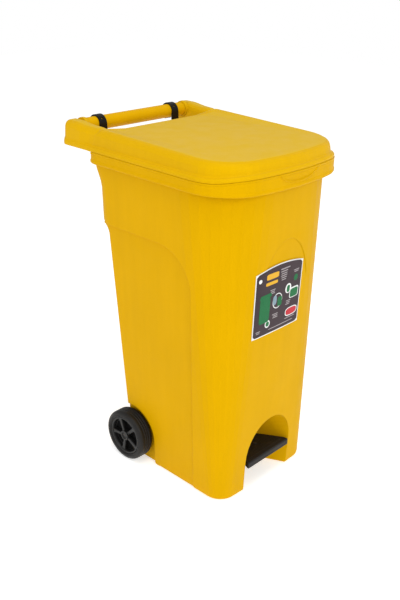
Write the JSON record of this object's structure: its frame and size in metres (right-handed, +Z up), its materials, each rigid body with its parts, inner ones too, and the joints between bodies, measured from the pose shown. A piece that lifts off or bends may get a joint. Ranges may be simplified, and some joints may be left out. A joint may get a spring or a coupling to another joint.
{
  "type": "pedal waste bin",
  "caption": "Tall yellow clinical waste bin on wheels, with a hinged lid on a carrying bar, a foot pedal and a push rod that opens the lid.",
  "frame": {"origin": "on the floor, under the middle of the bin's bounding box", "axes": "+Z up, -Y the front with the pedal, +X the bin's left-hand side seen from behind, to the right seen from the front"},
  "size_m": [0.388, 0.4869, 0.7735],
  "materials": {
    "yellow_body": "moulded polyethylene, satin with a fine grain",
    "yellow_lid": "moulded polyethylene, matt top and satin edges",
    "black_plastic": "moulded black plastic, semi-matt",
    "black_wheel": "moulded black plastic, semi-gloss",
    "tyre": "black rubber, matt",
    "steel": "zinc-plated steel",
    "label": "printed film, satin"
  },
  "bodies": {
    "bin": {"body": "yellow_body", "hinge_strap_left": "black_plastic", "hinge_strap_right": "black_plastic", "strap_screw_left_lower": "steel", "strap_screw_left_upper": "steel", "strap_screw_right_lower": "steel", "strap_screw_right_upper": "steel", "axle": "steel", "axle_washer_left": "steel", "axle_washer_right": "steel", "axle_cap_left": "black_plastic", "axle_cap_right": "black_plastic", "pivot_pin": "steel", "pivot_clip_left": "steel", "pivot_clip_right": "steel", "rod_guide": "black_plastic", "guide_screw_lower": "steel", "guide_screw_upper": "steel", "label": "label"},
    "lid_unit": {"lid": "yellow_lid", "handle_bar": "yellow_lid", "lid_bracket": "black_plastic", "bracket_screw_left": "steel", "bracket_screw_right": "steel"},
    "wheel_unit_left": {"wheel_disc_left": "black_wheel", "tyre_left": "tyre"},
    "wheel_unit_right": {"wheel_disc_right": "black_wheel", "tyre_right": "tyre"},
    "pedal_unit": {"pedal": "black_plastic", "pedal_lever": "black_plastic", "pedal_screw_front": "steel", "pedal_screw_rear": "steel"},
    "rod_unit": {"push_rod": "steel", "rod_nut_lower": "steel", "rod_nut_upper": "steel"}
  },
  "joints": [
    {"name": "lid_hinge", "type": "hinge", "parent": "bin", "child": "lid_unit", "pos_m": [0, 0.225, 0.7545], "axis": [-1, 0, 0], "range_deg": [0, 75]},
    {"name": "pedal_pivot", "type": "hinge", "parent": "bin", "child": "pedal_unit", "pos_m": [0, -0.07, 0.045], "axis": [1, 0, 0], "range_deg": [0, 15.3]},
    {"name": "rod_hook", "type": "hinge", "parent": "lid_unit", "child": "rod_unit", "pos_m": [0, 0.1953, 0.7248], "axis": [-1, 0, 0], "range_deg": [-75, 0]},
    {"name": "wheel_spin_left", "type": "hinge", "parent": "bin", "child": "wheel_unit_left", "pos_m": [-0.16075, 0.0745, 0.0607], "axis": [1, 0, 0], "continuous": true},
    {"name": "wheel_spin_right", "type": "hinge", "parent": "bin", "child": "wheel_unit_right", "pos_m": [0.16075, 0.0745, 0.0607], "axis": [1, 0, 0], "continuous": true}
  ],
  "couplings": [
    {"joint": "pedal_pivot", "follows": "lid_hinge", "ratio": 0.20347},
    {"joint": "rod_hook", "follows": "lid_hinge", "ratio": -1}
  ]
}
